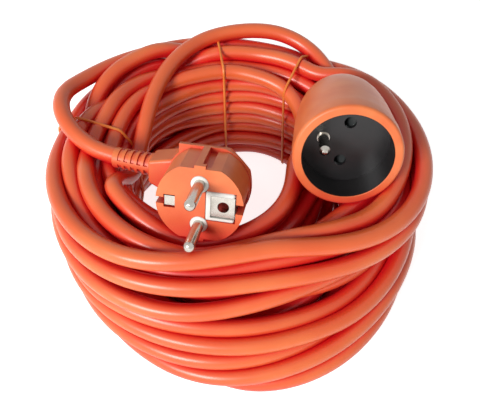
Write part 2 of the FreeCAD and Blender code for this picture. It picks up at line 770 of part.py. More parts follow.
def on_level(level, degrees, out):
    """A point of a level's outline, seen from the middle of the ties and moved outwards."""
    height, right, back, wide, deep = level
    aim = Vector(math.cos(math.radians(degrees)), math.sin(math.radians(degrees)), 0)
    shift = TIE_CENTRE - Vector(right, back, 0)
    a = (aim.x / wide) ** 2 + (aim.y / deep) ** 2
    b = aim.x * shift.x / wide ** 2 + aim.y * shift.y / deep ** 2
    c = (shift.x / wide) ** 2 + (shift.y / deep) ** 2 - 1
    reach = (-b + math.sqrt(b * b - a * c)) / a
    point = TIE_CENTRE + aim * (reach + out)
    return (point.x, point.y, height)


def tie(name, degrees):
    """A wire tie bent round the turns, its two ends tucked together under the coil."""
    half = values["tie_width"] / 2
    low = half + 0.3
    top = values["coil_height"] + half
    under = [on_level((low, *level[1:]), degrees, out) for level, out in
             ((OUTSIDE[1], 0.5), (INSIDE[0], -0.5))]
    middle = (Vector(*under[0]) + Vector(*under[1])) * 0.5
    towards = (Vector(*under[0]) - middle).normalize()
    points = [tuple(middle + towards * 0.4), under[0]]
    points += [on_level(level, degrees, half) for level in OUTSIDE[2:4]]
    points += [on_level((top, *OUTSIDE[5][1:]), degrees, 0)]
    points += [on_level((top, *INSIDE[3][1:]), degrees, 0)]
    points += [on_level(INSIDE[1], degrees, -half), under[1], tuple(middle - towards * 0.4)]
    return tube(name, points, values["tie_width"])


shape_part("cord_coil", coil_solid())
shape_part("cord_plug_tail", tube("cord_plug_tail", PLUG_TAIL, values["cable_width"]))
shape_part("cord_socket_tail", tube("cord_socket_tail", SOCKET_TAIL, values["cable_width"]))
for tie_name, tie_angle in TIES.items():
    shape_part(tie_name, tie(tie_name, tie_angle))


# ---------------------------------------------------------------- checks and files

doc.recompute()
faults = [
    f"{item.Name}: {item.State}"
    for item in doc.Objects
    if "Invalid" in item.State or "Error" in item.State
]
for item in sub_parts:
    if item.Shape.isNull() or not item.Shape.isValid() or not item.Shape.Solids:
        faults.append(f"{item.Label}: its shape is not a valid solid")
if faults:
    raise SystemExit("\n".join(faults))

os.makedirs("parts", exist_ok=True)
whole = FreeCAD.BoundBox()
for item in sub_parts:
    item.Shape.exportStep(f"parts/{item.Label}.step")
    whole.add(item.Shape.optimalBoundingBox(False))
    print(f"{item.Label}: {len(item.Shape.Solids)} solid, {item.Shape.Volume:.1f} mm3")
print(f"{len(sub_parts)} sub-parts, from {whole.XMin:.2f} {whole.YMin:.2f} {whole.ZMin:.2f} "
      f"to {whole.XMax:.2f} {whole.YMax:.2f} {whole.ZMax:.2f}")
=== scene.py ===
# %% [markdown]
# # A coiled extension cord
#
# Fifteen metres of orange flex lie in a loose coil, tied in three places. A plug with an angled
# lead rests on the left of the coil, and a moulded socket on the right. This notebook builds the
# visible pieces around the CAD frame: first the camera and the cable, then the ties, the plug, the
# socket, the finishes and the light.

# %% The frame
import math

import bpy
import numpy as np
from mathutils import Matrix, Vector


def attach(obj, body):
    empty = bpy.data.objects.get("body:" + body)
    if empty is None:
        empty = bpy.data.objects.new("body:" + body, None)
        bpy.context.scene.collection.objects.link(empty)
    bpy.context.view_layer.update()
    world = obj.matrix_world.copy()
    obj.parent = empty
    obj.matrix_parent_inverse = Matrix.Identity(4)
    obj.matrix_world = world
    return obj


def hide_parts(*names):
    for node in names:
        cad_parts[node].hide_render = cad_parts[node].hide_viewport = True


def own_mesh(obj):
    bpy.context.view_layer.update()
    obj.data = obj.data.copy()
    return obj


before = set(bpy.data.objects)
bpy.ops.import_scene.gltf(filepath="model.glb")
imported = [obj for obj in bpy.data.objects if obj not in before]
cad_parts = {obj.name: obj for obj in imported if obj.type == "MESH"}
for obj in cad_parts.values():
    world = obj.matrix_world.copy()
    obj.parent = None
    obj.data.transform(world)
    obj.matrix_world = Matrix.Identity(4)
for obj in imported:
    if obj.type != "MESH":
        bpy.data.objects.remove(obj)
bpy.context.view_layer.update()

MM = 0.001

# %% [markdown]
# ## The camera
#
# The cord is seen from in front and well above, from close by, so the near turns look thicker
# than the far ones. The lens and the place of the camera give that perspective.

# %% The camera
CAMERA_PLACE = Vector((0, -0.1997, 0.267))
CAMERA_DOWN = 51
LENS, SENSOR = 45, 36

bpy.ops.object.camera_add(location=CAMERA_PLACE, rotation=(math.radians(90 - CAMERA_DOWN), 0, 0))
camera = bpy.context.object
camera.name = "camera"
camera.data.lens = LENS
camera.data.sensor_width = SENSOR
camera.data.clip_start = 0.01
bpy.context.scene.camera = camera
print("camera", LENS, "mm lens, looking", CAMERA_DOWN, "degrees down")

# %% [markdown]
# ## The cable
#
# One cable runs from the plug, over the back of the coil, round all the turns from the outside
# inwards, and out over the top to the socket. A single smooth curve is the natural way to model
# it. The two free stretches are listed points, and the turns come from a loop.

# %% The free stretches
PLUG_TAIL = [
    (-0.0357, -0.0116, 0.0665), (-0.0610, -0.0037, 0.0651), (-0.0735, 0.0030, 0.0670),
    (-0.0830, 0.0130, 0.0700), (-0.0880, 0.0245, 0.0715), (-0.0880, 0.0370, 0.0700),
    (-0.0820, 0.0480, 0.0675), (-0.0740, 0.0590, 0.0655), (-0.0640, 0.0690, 0.0640),
]
SOCKET_TAIL = [
    (0.0500, 0.0330, 0.0644), (0.0509, 0.0458, 0.0603), (0.0501, 0.0576, 0.0596),
    (0.0463, 0.0686, 0.0613), (0.0395, 0.0780, 0.0643), (0.0305, 0.0843, 0.0672),
    (0.0198, 0.0876, 0.0696), (0.0080, 0.0880, 0.0706), (-0.0050, 0.0863, 0.0706),
    (-0.0180, 0.0810, 0.0705), (-0.0290, 0.0715, 0.0700), (-0.0375, 0.0590, 0.0685),
    (-0.0435, 0.0445, 0.0655), (-0.0470, 0.0290, 0.0610), (-0.0495, 0.0135, 0.0545),
    (-0.0525, -0.0010, 0.0475),
]
print(len(PLUG_TAIL), "points from the plug and", len(SOCKET_TAIL), "to the socket")

# %% [markdown]
# The plug and the socket each have a frame of their own: Z points out of the face, Y up in the
# face, and the middle of the face is the origin. Every piece of theirs is modelled in that frame
# and then set in place.

# %% The plug's and the socket's own frames
def facing(place, yaw, pitch, roll=0.0):
    """A face at a place in mm that looks along -Y, turned by yaw, lifted by pitch and rolled."""
    turn = Matrix.Rotation(math.radians(yaw), 4, "Z") @ Matrix.Rotation(math.radians(90 - pitch), 4, "X")
    return Matrix.Translation(Vector(place) * MM) @ turn @ Matrix.Rotation(math.radians(roll), 4, "Z")


PLUG = facing((-16.8, -43.0, 76.8), -9.9, 20.5)
SOCKET = facing((46.3, -20.3, 81.2), -4.0, 17.5, -8.0)
BOOT_TILT = math.radians(8)


def boot_point(back):
    """A point of the boot's axis, this many mm to the side of the plug's own axis."""
    return Vector((-back, 0, -29 - (back - 20) * math.tan(BOOT_TILT)))


print("plug looks along", [round(x, 2) for x in PLUG.to_3x3().col[2]])

# %% [markdown]
# The turns lie in a leaning ring whose section is about 35 mm wide and 65 mm high. Its corners
# and its height are given in mm at eight places round the ring, from the right hand side on and
# anticlockwise. Each turn has a place in the section, and wanders a little from it, most where no
# tie holds it.

# %% The ring that the turns fill
CABLE = 0.0082
COLUMNS, COLUMN_TURNS = 4, 8
TURNS, STEPS = COLUMNS * COLUMN_TURNS, 36
FIRST, LAST = math.radians(122.6), math.radians(202.6)
COIL_MIDDLE = np.array((0, 0.004))
TIE_BEARINGS = {"left": 168, "back": 99, "right": 62}
TIE_GRIP = math.radians(16)
SECTION = {
    "top_out": (91, 87, 83, 92, 91, 88, 69, 79),
    "top_in": (54, 62, 64, 62, 58, 50, 42, 44),
    "low_out": (88, 91, 85, 90, 92, 91, 99, 97),
    "low_in": (56, 60, 62, 62, 60, 54, 54, 56),
    "height": (66, 66, 66, 66, 66, 64, 63, 64),
}


def ringed(values, angle):
    """Values in mm at equal steps round the ring, joined by a smooth wave, in metres."""
    waves = np.fft.rfft(np.array(values) * MM) / len(values)
    waves[1:] *= 2
    waves[-1] /= 2
    return (waves * np.exp(1j * np.outer(angle, np.arange(len(waves))))).real.sum(1)


def near_ties(angle):
    """1 at a tie, falling towards 0 some thirty degrees away from it."""
    gaps = [np.angle(np.exp(1j * (angle - math.radians(tie)))) for tie in TIE_BEARINGS.values()]
    return np.exp(-(np.abs(gaps).min(0) / TIE_GRIP) ** 2)


steps = np.arange(round((TURNS * 2 * math.pi + FIRST - LAST) / (2 * math.pi / STEPS)) + 1)
angle = FIRST - 2 * math.pi * steps / STEPS
outward = np.stack([np.cos(angle), np.sin(angle)], 1)
print(len(steps), "points of the coil,", round(steps[-1] / STEPS, 2), "turns")

# %% [markdown]
# The places are taken column by column: down the outer wall, up the next column, and so on, so
# that the first turn meets the plug's stretch on top of the outer wall, and the last one meets the
# socket's stretch in the upper part of the inner wall. Each turn stays at its own place for a
# while and then eases into the next. The later turns hang loose towards the right of the hole.

# %% Where each turn would like to lie
EASE_FROM = 0.4
WANDER, HELD_BY_TIES = 0.11, 0.75
HARMONICS = {1: 1.0, 2: 0.7}
SQUEEZE = 0.06
ROUND_SHARE, ROUND_AT_TIES = 0.04, 0.1
LOOSE_MM = (2, 4, 5, 6, 7, 8, 9, 10, 18, 18, 18, 17, 17, 17, 18, 20)
LOOSE_AT, LOOSE_SPREAD = math.radians(345), math.radians(55)

levels = np.linspace(1, 0, COLUMN_TURNS)
places = []
for column in range(COLUMNS):
    order = levels[::-1] if column % 2 else levels
    places += [(1 - column / (COLUMNS - 1), level) for level in order]
places = np.array(places)

turn = steps / STEPS
here = np.minimum(turn.astype(int), TURNS - 1)
following = np.minimum(here + 1, TURNS - 1)
ease = np.clip((turn - here - EASE_FROM) / (1 - EASE_FROM), 0, 1)
ease = ease * ease * (3 - 2 * ease)


def along(per_turn):
    """A value of each turn, eased from one turn to the next along the cable."""
    return per_turn[here] * (1 - ease) + per_turn[following] * ease


chance = np.random.default_rng(25)
place = np.stack([along(places[:, 0]), along(places[:, 1])])
for harmonic, share in HARMONICS.items():
    for direction in (0, 1):
        size = chance.normal(0, WANDER * share, TURNS)
        phase = chance.uniform(0, 2 * math.pi, TURNS)
        wave = along(size * np.cos(phase)) * np.cos(harmonic * angle)
        wave += along(size * np.sin(phase)) * np.sin(harmonic * angle)
        place[direction] += wave * (1 - HELD_BY_TIES * near_ties(angle))
across = np.clip(place[0], -0.1, 1.1)
height = np.clip(place[1], 0, 1.08)
rounding = (ROUND_SHARE + ROUND_AT_TIES * near_ties(angle)) * (2 * height - 1) ** 4
across += (0.5 - across) * (SQUEEZE * near_ties(angle) + rounding)
height += (0.5 - height) * SQUEEZE * near_ties(angle)

walls = {name: ringed(values, angle) for name, values in SECTION.items()}


def wall_reach(which, level):
    """How far out the inner or the outer wall is, at a share of the coil's height."""
    low, top = walls["low_" + which], walls["top_" + which]
    return low + (top - low) * level


inner = wall_reach("in", height) + CABLE / 2
outer = wall_reach("out", height) - CABLE / 2
sag = np.exp(-(np.angle(np.exp(1j * (angle - LOOSE_AT))) / LOOSE_SPREAD) ** 2)
loose = np.zeros(TURNS)
loose[-len(LOOSE_MM):] = LOOSE_MM
inward = along(loose) * sag * MM
goal = np.stack([inner + (outer - inner) * across - inward,
                 CABLE / 2 + height * (walls["height"] - CABLE)], 1)
print("section", round((outer - inner).min() / MM), "to", round((outer - inner).max() / MM), "mm wide")

# %% [markdown]
# Real turns push each other aside, bend smoothly, and give way under the plug, the socket and the
# two free stretches. A short relaxation does the same: in each round every point moves a little
# towards its goal, towards the middle of its neighbours, and away from whatever it touches.

# %% What lies on the turns
def rods_through(points, radii):
    """Tapered rods, each a start, an end and their radii, from one point to the next."""
    points = [np.array(point) for point in points]
    return list(zip(points, points[1:], radii, radii[1:]))


PLUG_STATIONS = {1: 19, 36: 19}
NECK_STATIONS = {10: 8, 27: 7, 49: 5.5}
BELL_STATIONS = {0: 24, 35: 22.3, 53: 17, 60: 9, 68: 6}


def radii_of(stations):
    return [radius * MM for radius in stations.values()]


rods = rods_through([PLUG @ Vector((0, 0, -back * MM)) for back in PLUG_STATIONS], radii_of(PLUG_STATIONS))
rods += rods_through([PLUG @ (boot_point(back) * MM) for back in NECK_STATIONS], radii_of(NECK_STATIONS))
rods += rods_through([SOCKET @ Vector((0, 0, -back * MM)) for back in BELL_STATIONS], radii_of(BELL_STATIONS))
for tail in (PLUG_TAIL, SOCKET_TAIL):
    rods += rods_through(tail[:-1], [CABLE / 2] * (len(tail) - 1))
rod_start, rod_end, rod_from, rod_to = (np.array(column) for column in zip(*rods))
print(len(rods), "rods lie on the turns")

# %% The relaxation
ROUNDS, LAST_ROUNDS = 300, 20
FREE_SHARE, FIRM_SHARE = 0.994, 0.97
SMOOTHING, PUSH_APART, GIVE_WAY = 0.3, 0.3, 0.8
ROD_GAP = 0.0003
BELOW_RODS = 0.1 * CABLE
BULGE = 0.003
far_away = np.full((TURNS * STEPS - len(steps), 2), 9.0)


def pushed_apart(route):
    """Turns that pass the same place round the ring move apart until they only touch."""
    by_place = np.concatenate([route, far_away]).reshape(TURNS, STEPS, 2).transpose(1, 0, 2)
    for _ in range(2):
        between = by_place[:, :, None] - by_place[:, None]
        gap = np.sqrt((between ** 2).sum(-1)) + np.eye(TURNS)
        push = np.clip(CABLE - gap, 0, None) / gap * PUSH_APART
        by_place = by_place + (between * push[..., None]).sum(2)
        by_place[..., 1] = np.maximum(by_place[..., 1], CABLE / 2)
    return by_place.transpose(1, 0, 2).reshape(-1, 2)[:len(steps)].copy()


def in_space(route):
    return np.concatenate([COIL_MIDDLE + route[:, :1] * outward, route[:, 1:]], 1)


def given_way(route):
    """Turns move out from under the rods that lie on them, and never lie above one."""
    reach = in_space(route)[:, None] - rod_start
    run = rod_end - rod_start
    share = np.clip((reach * run).sum(-1) / (run ** 2).sum(-1), 0, 1)
    off = reach - share[..., None] * run
    off[..., 2] = np.minimum(off[..., 2], -BELOW_RODS)
    gap = np.sqrt((off ** 2).sum(-1))
    depth = rod_from + (rod_to - rod_from) * share + CABLE / 2 + ROD_GAP - gap
    worst = np.arange(len(route)), depth.argmax(1)
    push = off[worst] / gap[worst][:, None] * np.clip(depth[worst], 0, None)[:, None] * GIVE_WAY
    return route + np.stack([(push[:, :2] * outward).sum(1), push[:, 2]], 1)


route = goal.copy()
for number in range(ROUNDS):
    strayed = route - goal
    strayed *= FIRM_SHARE if number < ROUNDS / 2 else FREE_SHARE
    strayed[1:-1] += SMOOTHING * ((strayed[:-2] + strayed[2:]) / 2 - strayed[1:-1])
    route = pushed_apart(goal + strayed)
    if number % 3 == 0 or number > ROUNDS - LAST_ROUNDS:
        route = given_way(route)
    route[:, 1] = np.maximum(route[:, 1], CABLE / 2)
    level = (route[:, 1] - CABLE / 2) / (walls["height"] - CABLE)
    route[:, 0] = np.minimum(route[:, 0], wall_reach("out", level) - CABLE / 2 + BULGE)
turns = in_space(route)
print("coil from", (turns.min(0) / MM).round(1), "to", (turns.max(0) / MM).round(1), "mm")

# %% The cable's curve
def select_only(*objects):
    """Deselects everything else, because operators act on all that is selected."""
    bpy.ops.object.select_all(action="DESELECT")
    for one in objects:
        one.select_set(True)
    bpy.context.view_layer.objects.active = objects[0]


line = bpy.data.curves.new("extension_cable", "CURVE")
line.dimensions = "3D"
spline = line.splines.new("NURBS")
points = PLUG_TAIL + [tuple(point) for point in turns] + SOCKET_TAIL[::-1]
spline.points.add(len(points) - 1)
for control, point in zip(spline.points, points):
    control.co = (*point, 1)
    control.radius = CABLE / 2
spline.order_u = 3
spline.use_endpoint_u = True
spline.use_smooth = True
line.resolution_u = 5
line.render_resolution_u = 5
line.bevel_depth = 1.0
line.bevel_resolution = 5
line.use_fill_caps = True
cable = bpy.data.objects.new("extension_cable", line)
bpy.context.scene.collection.objects.link(cable)
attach(cable, "root")
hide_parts("cord_coil", "cord_plug_tail", "cord_socket_tail")
print("cable with", len(points), "control points")

# %% [markdown]
# ## Finishes
#
# Each finish is a small node tree. Colours are written as sRGB hex values, as a paint chart gives
# them, and one function turns them to the linear values that Blender works in.

# %% Colours and nodes
def linear(colour):
    """An sRGB colour written #RRGGBB as linear RGBA."""
    shares = [int(colour[k:k + 2], 16) / 255 for k in (1, 3, 5)]
    return tuple(s / 12.92 if s <= 0.04045 else ((s + 0.055) / 1.055) ** 2.4 for s in shares) + (1,)


def add_node(tree, kind, settings=None, inputs=None):
    """Adds a node, sets its own settings, and links or sets its inputs by name or number."""
    made = tree.nodes.new("ShaderNode" + kind)
    for name, value in (settings or {}).items():
        setattr(made, name, value)
    for key, value in (inputs or {}).items():
        if isinstance(value, bpy.types.NodeSocket):
            tree.links.new(value, made.inputs[key])
        else:
            made.inputs[key].default_value = value
    return made


def finish(name, shader):
    """A new material with one shader, whose values are given as on its sockets."""
    material = bpy.data.materials.new(name)
    material.use_nodes = True
    tree = material.node_tree
    tree.nodes.clear()
    surface = add_node(tree, "BsdfPrincipled", inputs=shader)
    add_node(tree, "OutputMaterial", inputs={"Surface": surface.outputs[0]})
    return material, tree, surface


# %% [markdown]
# Plasticised PVC is soft and satin. It is extruded or moulded in one colour, so what varies is
# small: faint cloudiness of the pigment over some centimetres, a fine orange-peel grain, and a
# roughness that changes where hands have rubbed it. The hardly visible lines along the extrusion are left
# out.
# The colour is also mixed towards a deeper red in the nooks and between the turns, as painted shade.

# %% Satin plastics
# How far the painted shade in the nooks looks for nearby surfaces.
PAINTED_SHADE_REACH = 0.025


def plastic(name, deep, plain, pale, roughness, cloud_mm, grain_mm, grain_height, coat=0.0, painted_shade_colour=None):
    """A pigmented plastic: cloudy colour, painted shade of a deeper red in the nooks, rubbed roughness and a
    fine grain.
    """
    material, tree, surface = finish(name, {"IOR": 1.5, "Coat Weight": coat, "Coat Roughness": 0.3})
    place = add_node(tree, "TexCoord").outputs["Object"]
    clouds = add_node(tree, "TexNoise", inputs={"Vector": place, "Scale": 1 / (cloud_mm * MM), "Detail": 3.0})
    ramp = add_node(tree, "ValToRGB", inputs={"Fac": clouds.outputs["Fac"]})
    stops = ramp.color_ramp.elements
    stops[0].position, stops[0].color = 0.3, linear(deep)
    stops[1].position, stops[1].color = 0.7, linear(pale)
    middle = stops.new(0.5)
    middle.color = linear(plain)
    colour = ramp.outputs["Color"]
    # Painted shade: where other surfaces crowd close round a point, its colour is mixed towards a deeper red.
    if painted_shade_colour:
        shelter = add_node(tree, "AmbientOcclusion", {"samples": 6}, {"Distance": PAINTED_SHADE_REACH})
        open_air = add_node(tree, "MapRange", inputs={
            "Value": shelter.outputs["AO"], "From Min": 0.25, "From Max": 1.0})
        painted_shade_mix = add_node(tree, "Mix", {"data_type": "RGBA"}, {
            0: open_air.outputs["Result"], 6: linear(painted_shade_colour), 7: colour})
        colour = painted_shade_mix.outputs[2]
    tree.links.new(colour, surface.inputs["Base Color"])
    rubbed = add_node(tree, "TexNoise", inputs={"Vector": place, "Scale": 1 / (9 * MM), "Detail": 4.0})
    rough = add_node(tree, "MapRange", inputs={
        "Value": rubbed.outputs["Fac"], "To Min": roughness - 0.07, "To Max": roughness + 0.07})
    tree.links.new(rough.outputs["Result"], surface.inputs["Roughness"])
    grain = add_node(tree, "TexNoise", inputs={"Vector": place, "Scale": 1 / (grain_mm * MM), "Detail": 2.0})
    bump = add_node(tree, "Bump", inputs={
        "Height": grain.outputs["Fac"], "Strength": 0.35, "Distance": grain_height * MM})
    tree.links.new(bump.outputs["Normal"], surface.inputs["Normal"])
    return material


# The last colour given to the sheath and to the moulding is their painted shade in the nooks and between the
# turns.
sheath = plastic("pvc_sheath_extruded", "#EA6230", "#F06C38", "#F47A42", 0.34, 35, 0.9, 0.05,
                 coat=0.1, painted_shade_colour="#DC1220")
moulding = plastic("pvc_moulding_satin", "#EA7440", "#F07E46", "#F4884E", 0.42, 14, 0.5, 0.05,
                   painted_shade_colour="#D4302A")
tie_coating = plastic("tie_wire_pvc_coated", "#E8792E", "#F0883A", "#F4984A", 0.45, 10, 0.4, 0.03)
white_nylon = plastic("polyamide_white_moulded", "#E6E2D8", "#EFECE4", "#F6F4EE", 0.4, 8, 0.5, 0.02)
black_nylon = plastic("polyamide_black_moulded", "#1A1819", "#201E1F", "#262324", 0.33, 9, 0.5, 0.03)
dark_acetal = plastic("acetal_dark_moulded", "#232525", "#2C2F2F", "#363939", 0.3, 6, 0.5, 0.02)
core_brown = plastic("pvc_core_brown", "#4A2810", "#55301A", "#603820", 0.4, 5, 0.4, 0.02)
core_blue = plastic("pvc_core_blue", "#1A4C9C", "#2058B0", "#2A64BC", 0.4, 5, 0.4, 0.02)
cable.data.materials.append(sheath)
print(len(bpy.data.materials), "materials so far")

# %% [markdown]
# ## Modelling helpers
#
# The moulded pieces are built from primitives in the plug's or the socket's own frame, in
# millimetres, cut and joined with booleans, softened with bevels, and then set in place with
# their place in the mesh.

# %% Modelling helpers
def named(name):
    """Names the new primitive and applies its place, turn and scale."""
    piece = bpy.context.object
    piece.name = piece.data.name = name
    bpy.ops.object.transform_apply(location=True, rotation=True, scale=True)
    return piece


def block(name, x, y, z):
    """A box between pairs of mm values."""
    middle = [sum(side) / 2 * MM for side in (x, y, z)]
    bpy.ops.object.select_all(action="DESELECT")
    bpy.ops.mesh.primitive_cube_add(size=1, location=middle)
    bpy.context.object.scale = [(side[1] - side[0]) * MM for side in (x, y, z)]
    return named(name)


def rod(name, radius, z, x=0, y=0, top=None, sides=64):
    """A cylinder or a cone along Z between two mm heights."""
    bpy.ops.object.select_all(action="DESELECT")
    bpy.ops.mesh.primitive_cone_add(
        vertices=sides, radius1=radius * MM, radius2=(radius if top is None else top) * MM,
        depth=(z[1] - z[0]) * MM, location=(x * MM, y * MM, sum(z) / 2 * MM))
    return named(name)


def turned(name, profile, sides=128, ring=True):
    """A circle extruded along a profile of radius and height in mm; a ring closes on itself."""
    bpy.ops.object.select_all(action="DESELECT")
    radius, level = profile[0]
    bpy.ops.mesh.primitive_circle_add(vertices=sides, radius=radius * MM, location=(0, 0, level * MM))
    piece = named(name)
    bpy.ops.object.mode_set(mode="EDIT")
    bpy.ops.mesh.select_all(action="SELECT")
    for next_radius, next_level in profile[1:]:
        bpy.ops.mesh.extrude_region_move(
            TRANSFORM_OT_translate={"value": (0, 0, (next_level - level) * MM)})
        if next_radius != radius:
            ratio = next_radius / radius
            bpy.ops.transform.resize(value=(ratio, ratio, 1), center_override=(0, 0, next_level * MM))
        radius, level = next_radius, next_level
    if ring:
        bpy.ops.mesh.select_all(action="DESELECT")
        bpy.ops.mesh.select_non_manifold()
        bpy.ops.mesh.bridge_edge_loops()
    bpy.ops.mesh.select_all(action="SELECT")
    if not ring:
        bpy.ops.mesh.fill_holes(sides=0)
    bpy.ops.mesh.normals_make_consistent(inside=False)
    bpy.ops.object.mode_set(mode="OBJECT")
    return piece


def pick(piece, kind, wanted):
    """Selects only the vertices, edges or faces whose middle, in mm, passes a test."""
    bpy.ops.object.mode_set(mode="OBJECT")
    mesh = piece.data
    for group in (mesh.vertices, mesh.edges, mesh.polygons):
        group.foreach_set("select", [False] * len(group))
    for item in getattr(mesh, kind):
        if kind == "vertices":
            corners = [item.co]
        else:
            corners = [mesh.vertices[index].co for index in item.vertices]
        if all(wanted(corner / MM) for corner in corners):
            item.select = True
    bpy.ops.object.mode_set(mode="EDIT")
    modes = {"vertices": "VERT", "edges": "EDGE", "polygons": "FACE"}
    bpy.ops.mesh.select_mode(type=modes[kind])


def round_edges(piece, wanted, width, segments=4):
    """Bevels the edges whose ends both pass a test."""
    select_only(piece)
    pick(piece, "edges", wanted)
    bpy.ops.mesh.bevel(offset=width * MM, segments=segments, affect="EDGES")
    bpy.ops.object.mode_set(mode="OBJECT")


def carve(piece, tool, operation="DIFFERENCE"):
    """Cuts the tool out of the piece, or fuses it on, and removes the tool."""
    select_only(piece)
    change = piece.modifiers.new("carve", "BOOLEAN")
    change.operation = operation
    change.solver = "EXACT"
    change.use_self = True
    change.object = tool
    bpy.ops.object.modifier_apply(modifier=change.name)
    bpy.data.objects.remove(tool)
    return piece


def slice_off(piece, place, direction):
    """Cuts away what lies beyond a plane."""
    beyond = block("beyond", (-80, 80), (-80, 80), (0, 80))
    turn = Vector(direction).to_track_quat("Z", "Y").to_matrix().to_4x4()
    beyond.data.transform(Matrix.Translation(Vector(place) * MM) @ turn)
    return carve(piece, beyond)


def soften(piece, width, segments=2, angle_limit=40):
    """Takes the sharpness off every edge, as a mould does."""
    select_only(piece)
    change = piece.modifiers.new("soften", "BEVEL")
    change.width = width * MM
    change.segments = segments
    change.limit_method = "ANGLE"
    change.angle_limit = math.radians(angle_limit)
    bpy.ops.object.modifier_apply(modifier=change.name)
    return piece


def settle(piece, frame_of, material, replaced=()):
    """Sets a finished piece in the cord's frame, with its finish, its body and its CAD nodes."""
    select_only(piece)
    piece.data.transform(frame_of)
    bpy.ops.object.mode_set(mode="EDIT")
    bpy.ops.mesh.select_all(action="SELECT")
    bpy.ops.mesh.remove_doubles(threshold=0.00001)
    bpy.ops.mesh.normals_make_consistent(inside=False)
    bpy.ops.object.mode_set(mode="OBJECT")
    bpy.ops.object.shade_smooth_by_angle(angle=math.radians(35))
    even = piece.modifiers.new("even", "WEIGHTED_NORMAL")
    even.keep_sharp = True
    bpy.ops.object.modifier_apply(modifier=even.name)
    piece.data.materials.clear()
    piece.data.materials.append(material)
    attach(piece, "root")
    if replaced:
        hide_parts(*replaced)
    print(piece.name, len(piece.data.polygons), "faces")
    return piece


# %% [markdown]
# ## The plug's moulding
#
# The front of the plug is a disc with two flats, which goes into a round wall socket. Each flat
# has a guide rib with a groove beside it. Behind the front is the full round housing, which
# stops at the wall, and from its side a neck and a ribbed boot lead the cable away.

# %% Plug: front and housing
PLUG_RADIUS, PLUG_FLAT, PLUG_REACH, PLUG_DEPTH = 18.5, 16.5, 18.5, 36.5

front = rod("plug_moulding", PLUG_RADIUS, (-PLUG_REACH - 1, 0), sides=128)
for side in (1, -1):
    slice_off(front, (0, side * PLUG_FLAT, 0), (0, side, 0))
for side in (1, -1):
    inner_y, outer_y = sorted((side * (PLUG_FLAT - 1), side * (PLUG_FLAT + 1.3)))
    carve(front, block("guide_rib", (-2.4, 0.5), (inner_y, outer_y), (-PLUG_REACH - 1, -0.02)), "UNION")
    carve(front, block("guide_tab", (-2.2, 2.2), (inner_y, outer_y + 0.02 * side), (-2.4, -0.01)), "UNION")
    inner_y, outer_y = sorted((side * (PLUG_FLAT - 1.2), side * (PLUG_FLAT + 3)))
    carve(front, block("guide_groove", (0.5, 4.1), (inner_y, outer_y), (-PLUG_REACH - 2, -2.4)))
print("plug front:", len(front.data.polygons), "faces")

# %% [markdown]
# The housing is round with a straight ledge above and below, and slopes in towards its back. The
# neck is a tapered block that widens towards the housing, most on its lower side. The boot is a
# slim cone cut by five slots above and five below a spine on its front and its back, so that it
# bends with the cable.

# %% Plug: housing, neck and boot
HOUSING_RADIUS, LEDGE, LEDGE_THICK = 19, 17.8, 2.0
BACK_SLOPE = math.radians(30)

housing = rod("housing", HOUSING_RADIUS, (-PLUG_DEPTH, -PLUG_REACH), sides=128)
carve(housing, block("ledge", (-13.3, 5), (-LEDGE, LEDGE), (-PLUG_DEPTH, -PLUG_REACH)), "UNION")
for side in (1, -1):
    slice_off(housing, (0, side * LEDGE, 0), (0, side, 0))
NECK_BACK, NECK_FRONT = -35.5, -22.0
neck = block("neck", (-28.5, -8), (-5.4, 5.4), (NECK_BACK, NECK_FRONT))
select_only(neck)
pick(neck, "vertices", lambda p: p.x > -9 and p.y < 0)
bpy.ops.transform.translate(value=(0, -10.5 * MM, 0))
pick(neck, "vertices", lambda p: p.x > -9 and p.y > 0)
bpy.ops.transform.translate(value=(0, 4.5 * MM, 0))
bpy.ops.object.mode_set(mode="OBJECT")
round_edges(neck, lambda p: True, 1.4, 3)
carve(housing, neck, "UNION")
for bearing in range(-90, 91, 45):
    out = Vector((math.cos(math.radians(bearing)), math.sin(math.radians(bearing)), 0))
    slope = out * math.cos(BACK_SLOPE) - Vector((0, 0, math.sin(BACK_SLOPE)))
    start = out * (LEDGE if abs(bearing) == 90 else HOUSING_RADIUS)
    slice_off(housing, start - Vector((0, 0, PLUG_REACH + LEDGE_THICK)), slope)
carve(front, housing, "UNION")

BOOT_FROM, BOOT_TO = 26.5, 47.2
BOOT_ROOT, BOOT_TIP = 5.5, 4.75
boot = rod("boot", BOOT_ROOT, (0, BOOT_TO - BOOT_FROM), top=BOOT_TIP, sides=64)
round_edges(boot, lambda p: p.z > BOOT_TO - BOOT_FROM - 0.1, 0.3, 2)
for number in range(5):
    low = 2.6 + 3.3 * number
    ring = rod("slot", 9, (low, low + 1.9), sides=64)
    carve(ring, rod("slot_middle", 4.3, (low - 1, low + 3), sides=64))
    carve(ring, block("spine", (-9.5, 9.5), (-0.95, 0.95), (low - 1, low + 3)))
    carve(boot, ring)
boot_turn = Matrix.Rotation(-math.pi / 2 - BOOT_TILT, 4, "Y")
boot.data.transform(Matrix.Translation(boot_point(BOOT_FROM) * MM) @ boot_turn)
carve(front, boot, "UNION")
print("plug with neck and boot:", len(front.data.polygons), "faces")

# %% Plug: openings in the face
PIN_GAP = 9.5
for side in (1, -1):
    carve(front, rod("collar_hole", 3.9, (-8, 1), y=side * PIN_GAP, sides=48))
carve(front, block("frame_hole", (2.5, 15.3), (-7, 7), (-8, 1)))
carve(front, block("strap_window", (-15.1, -10.3), (-3, 3), (-8, 1)))
carve(front, block("notch_right", (14, 20), (-2.2, 2.2), (-14, 1)))
carve(front, block("notch_left", (-20, -15), (-1.5, 1.5), (-14, 1)))
soften(front, 0.25)
settle(front, PLUG, moulding, ["plug_body"])

# %% [markdown]
# Behind the face lies a stiff white carrier: a plate with a collar round each pin, and a frame
# with rounded edges round the earth contact. The frame is open towards the rim, where the earth
# strap bends down.

# %% Plug: white carrier
EARTH_X = 10

